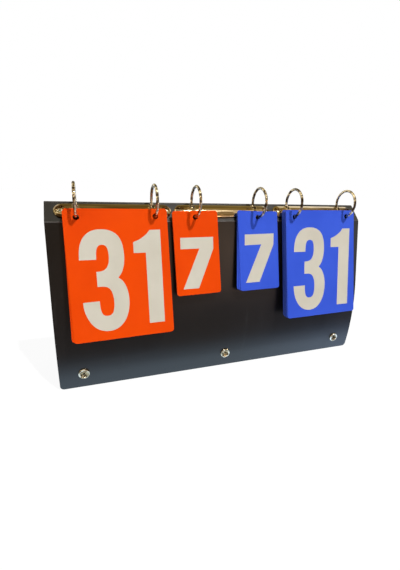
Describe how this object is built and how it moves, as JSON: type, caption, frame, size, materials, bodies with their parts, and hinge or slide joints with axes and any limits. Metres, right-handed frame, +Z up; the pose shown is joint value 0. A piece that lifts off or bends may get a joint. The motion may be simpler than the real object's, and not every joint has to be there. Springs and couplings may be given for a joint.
{
  "type": "tabletop flip scoreboard",
  "caption": "Folding black tabletop scoreboard: ring mechanisms carry orange and blue number leaves that turn over the top of a bowed, press-studded stand.",
  "frame": {"origin": "on the table under the middle of the front fold, on the underside of the base panel", "axes": "+X to the right along the board, +Y to the back, +Z up; the numbers face -Y"},
  "size_m": [0.385, 0.1038, 0.2182],
  "materials": {
    "black_sheet": "satin black polypropylene sheet with a fine grain",
    "orange_leaf": "satin orange plastic sheet",
    "blue_leaf": "satin blue plastic sheet",
    "nickel": "bright nickel plate",
    "gold_plate": "bright gold-coloured plate",
    "brass_cup": "dull brass",
    "zinc": "zinc-plated steel"
  },
  "bodies": {
    "base": {"base_panel": "black_sheet", "front_base_fold": "black_sheet", "rear_base_fold": "black_sheet"},
    "flap": {"closure_flap": "black_sheet", "snap_studs": "zinc", "snap_posts": "zinc"},
    "back": {"back_panel": "black_sheet", "rear_top_fold": "black_sheet"},
    "front_unit": {"ring_strip": "black_sheet", "front_top_fold": "black_sheet", "front_panel": "black_sheet", "snap_rims": "nickel", "snap_cups": "brass_cup", "snap_sockets": "zinc", "left_cover_plate": "gold_plate", "middle_cover_plate": "gold_plate", "right_cover_plate": "gold_plate", "mounting_rivets": "nickel", "backing_washers": "zinc"},
    "left_lower_half": {"left_lower_blade": "zinc", "left_lower_rings": "nickel"},
    "left_upper_half": {"left_upper_blade": "zinc", "left_upper_rings": "nickel"},
    "middle_lower_half": {"middle_lower_blade": "zinc", "middle_lower_rings": "nickel"},
    "middle_upper_half": {"middle_upper_blade": "zinc", "middle_upper_rings": "nickel"},
    "right_lower_half": {"right_lower_blade": "zinc", "right_lower_rings": "nickel"},
    "right_upper_half": {"right_upper_blade": "zinc", "right_upper_rings": "nickel"},
    "orange_score_pack": {"orange_score_second_leaf": "orange_leaf", "orange_score_stack": "orange_leaf"},
    "orange_score_leaf": {"orange_score_front_leaf": "orange_leaf"},
    "orange_set_pack": {"orange_set_second_leaf": "orange_leaf", "orange_set_stack": "orange_leaf"},
    "orange_set_leaf": {"orange_set_front_leaf": "orange_leaf"},
    "blue_set_pack": {"blue_set_second_leaf": "blue_leaf", "blue_set_stack": "blue_leaf"},
    "blue_set_leaf": {"blue_set_front_leaf": "blue_leaf"},
    "blue_score_pack": {"blue_score_second_leaf": "blue_leaf", "blue_score_stack": "blue_leaf"},
    "blue_score_leaf": {"blue_score_front_leaf": "blue_leaf"}
  },
  "joints": [
    {"name": "flap_fold", "type": "hinge", "parent": "base", "child": "flap", "pos_m": [0, -0.00413, 0.0012], "axis": [-1, 0, 0], "range_deg": [0, 60]},
    {"name": "stand_opening", "type": "hinge", "parent": "back", "child": "front_unit", "pos_m": [0, 0.01734, 0.19739], "axis": [-1, 0, 0], "range_deg": [0, 60]},
    {"name": "base_spread", "type": "hinge", "parent": "base", "child": "back", "pos_m": [0, 0.06991, 0.0012], "axis": [-1, 0, 0], "range_deg": [0, 15]},
    {"name": "left_rings_open", "type": "hinge", "parent": "front_unit", "child": "left_lower_half", "pos_m": [-0.1243, 0.00297, 0.18432], "axis": [1, 0, 0], "range_deg": [0, 12]},
    {"name": "left_rings_open_upper", "type": "hinge", "parent": "front_unit", "child": "left_upper_half", "pos_m": [-0.1243, 0.01233, 0.195], "axis": [1, 0, 0], "range_deg": [-12, 0]},
    {"name": "middle_rings_open", "type": "hinge", "parent": "front_unit", "child": "middle_lower_half", "pos_m": [-0.0012, 0.00297, 0.18432], "axis": [1, 0, 0], "range_deg": [0, 12]},
    {"name": "middle_rings_open_upper", "type": "hinge", "parent": "front_unit", "child": "middle_upper_half", "pos_m": [-0.0012, 0.01233, 0.195], "axis": [1, 0, 0], "range_deg": [-12, 0]},
    {"name": "right_rings_open", "type": "hinge", "parent": "front_unit", "child": "right_lower_half", "pos_m": [0.1234, 0.00297, 0.18432], "axis": [1, 0, 0], "range_deg": [0, 12]},
    {"name": "right_rings_open_upper", "type": "hinge", "parent": "front_unit", "child": "right_upper_half", "pos_m": [0.1234, 0.01233, 0.195], "axis": [1, 0, 0], "range_deg": [-12, 0]},
    {"name": "orange_score_pack_hang", "type": "hinge", "parent": "left_lower_half", "child": "orange_score_pack", "pos_m": [-0.1243, -0.00507, 0.20079], "axis": [1, 0, 0], "range_deg": [-12, 0]},
    {"name": "orange_score_leaf_turn", "type": "hinge", "parent": "orange_score_pack", "child": "orange_score_leaf", "pos_m": [-0.1243, -0.00507, 0.20079], "axis": [1, 0, 0], "range_deg": [-250, 0]},
    {"name": "orange_set_pack_hang", "type": "hinge", "parent": "middle_lower_half", "child": "orange_set_pack", "pos_m": [-0.03995, -0.00507, 0.20079], "axis": [1, 0, 0], "range_deg": [-12, 0]},
    {"name": "orange_set_leaf_turn", "type": "hinge", "parent": "orange_set_pack", "child": "orange_set_leaf", "pos_m": [-0.03995, -0.00507, 0.20079], "axis": [1, 0, 0], "range_deg": [-250, 0]},
    {"name": "blue_set_pack_hang", "type": "hinge", "parent": "middle_lower_half", "child": "blue_set_pack", "pos_m": [0.03755, -0.00507, 0.20079], "axis": [1, 0, 0], "range_deg": [-12, 0]},
    {"name": "blue_set_leaf_turn", "type": "hinge", "parent": "blue_set_pack", "child": "blue_set_leaf", "pos_m": [0.03755, -0.00507, 0.20079], "axis": [1, 0, 0], "range_deg": [-250, 0]},
    {"name": "blue_score_pack_hang", "type": "hinge", "parent": "right_lower_half", "child": "blue_score_pack", "pos_m": [0.1234, -0.00507, 0.20079], "axis": [1, 0, 0], "range_deg": [-12, 0]},
    {"name": "blue_score_leaf_turn", "type": "hinge", "parent": "blue_score_pack", "child": "blue_score_leaf", "pos_m": [0.1234, -0.00507, 0.20079], "axis": [1, 0, 0], "range_deg": [-250, 0]}
  ],
  "couplings": [
    {"joint": "base_spread", "follows": "stand_opening", "ratio": 0.25},
    {"joint": "left_rings_open_upper", "follows": "left_rings_open", "ratio": -1},
    {"joint": "middle_rings_open_upper", "follows": "middle_rings_open", "ratio": -1},
    {"joint": "right_rings_open_upper", "follows": "right_rings_open", "ratio": -1},
    {"joint": "orange_score_pack_hang", "follows": "left_rings_open", "ratio": -1},
    {"joint": "orange_set_pack_hang", "follows": "middle_rings_open", "ratio": -1},
    {"joint": "blue_set_pack_hang", "follows": "middle_rings_open", "ratio": -1},
    {"joint": "blue_score_pack_hang", "follows": "right_rings_open", "ratio": -1}
  ]
}
